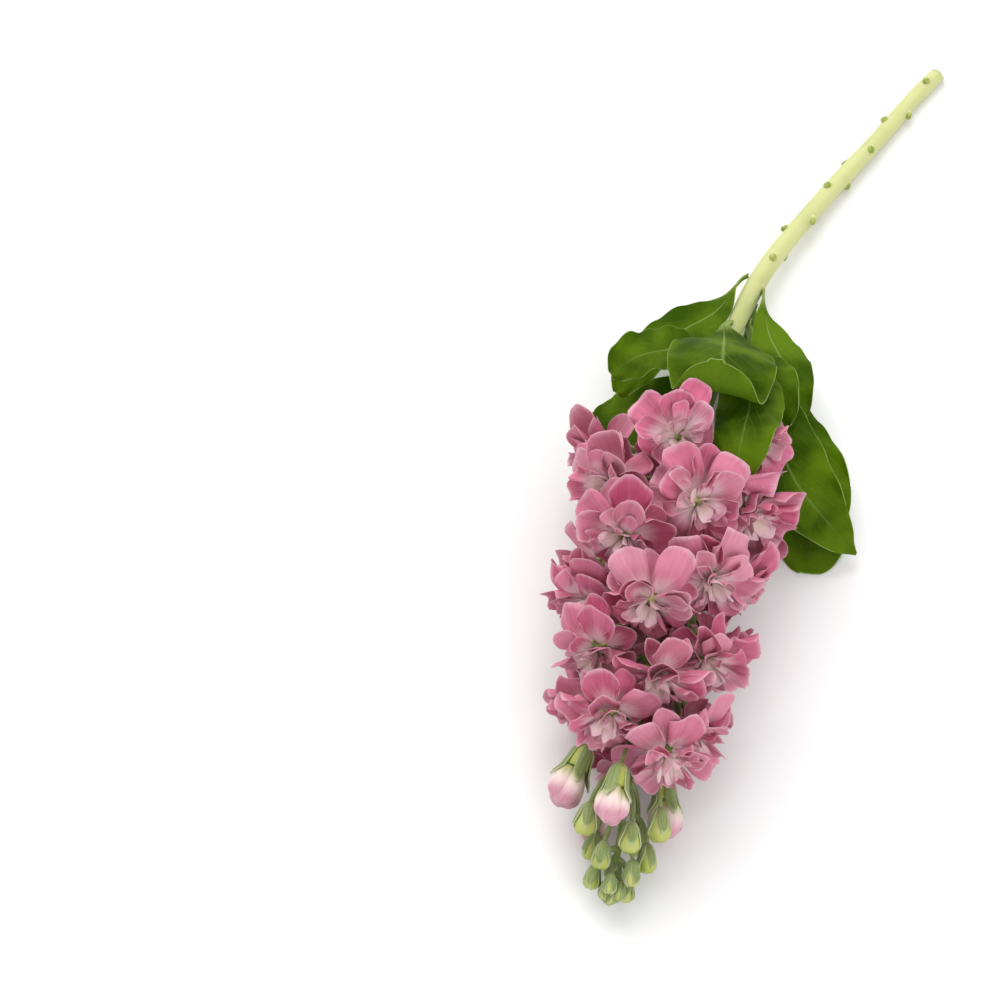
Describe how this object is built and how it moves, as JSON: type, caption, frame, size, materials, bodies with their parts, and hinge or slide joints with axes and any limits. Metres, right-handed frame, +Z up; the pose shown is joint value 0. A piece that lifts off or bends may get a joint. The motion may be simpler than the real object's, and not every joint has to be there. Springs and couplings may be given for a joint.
{
  "type": "stock flower stem",
  "caption": "Cut stem of double stock lying down: bowed green stem, broad waved leaves, a dense spike of ruffled pink florets and a tip of buds.",
  "frame": {"origin": "middle of the flower's outline on the surface it lies on", "axes": "+Z up, +Y along the stem towards its cut end, -Y towards the bud tip, +X to the right seen from the tip"},
  "size_m": [0.1197, 0.4453, 0.0763],
  "materials": {
    "stem": "soft green plant stem with raised leaf scars, stalks, calyces and closed buds",
    "leaf": "soft matt leaf, paler below, with a pale midrib and margin",
    "petal": "thin soft petals, mauve pink and paler at the edges and the middle",
    "bud": "folded petals of opening buds, pale pink with a lime base"
  },
  "bodies": {
    "root": {"stem": "stem", "leaf_ground_right": "leaf", "leaf_ground_left": "leaf", "leaf_back_right": "leaf", "leaf_outer_right": "leaf", "leaf_long_right": "leaf", "leaf_left_back": "leaf", "leaf_middle_right": "leaf", "leaf_left_upper": "leaf", "leaf_folded_tip": "leaf", "leaf_curled_over": "leaf", "floret_01": "petal", "floret_02": "petal", "floret_03": "petal", "floret_04": "petal", "floret_05": "petal", "floret_06": "petal", "floret_07": "petal", "floret_08": "petal", "floret_09": "petal", "floret_10": "petal", "floret_11": "petal", "floret_12": "petal", "floret_13": "petal", "floret_14": "petal", "floret_15": "petal", "floret_16": "petal", "floret_17": "petal", "floret_18": "petal", "floret_19": "petal", "floret_20": "petal", "floret_21": "petal", "floret_22": "petal", "floret_23": "petal", "floret_24": "petal", "floret_25": "petal", "floret_26": "petal", "floret_27": "petal", "floret_28": "petal", "opening_bud_1": "bud", "opening_bud_2": "bud", "opening_bud_3": "bud", "opening_bud_4": "bud"}
  },
  "joints": []
}
